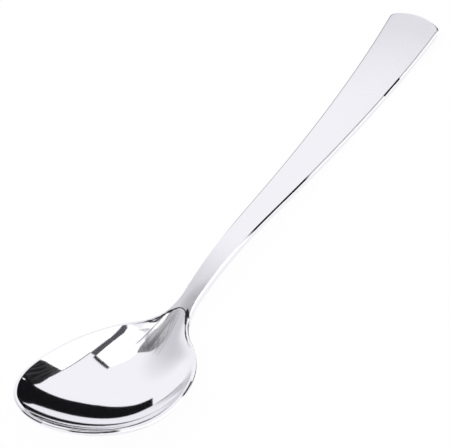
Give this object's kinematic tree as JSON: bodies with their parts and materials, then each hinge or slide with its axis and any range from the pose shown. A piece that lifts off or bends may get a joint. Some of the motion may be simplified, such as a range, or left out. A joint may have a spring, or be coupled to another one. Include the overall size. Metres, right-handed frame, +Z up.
{
  "type": "salad spoon",
  "caption": "Large one-piece steel serving spoon with a broad oval bowl, a narrow neck and a flat handle that widens towards its rounded end.",
  "frame": {"origin": "centre of the bounding box on the ground, with the spoon lying on its back as it rests on a table", "axes": "+X from the bowl towards the end of the handle, +Y across the spoon, +Z up; the spoon is symmetrical about the XZ plane"},
  "size_m": [0.2566, 0.064, 0.0315],
  "materials": {
    "steel": "bowl polished bright, handle satin"
  },
  "bodies": {
    "root": {"spoon": "steel"}
  },
  "joints": []
}
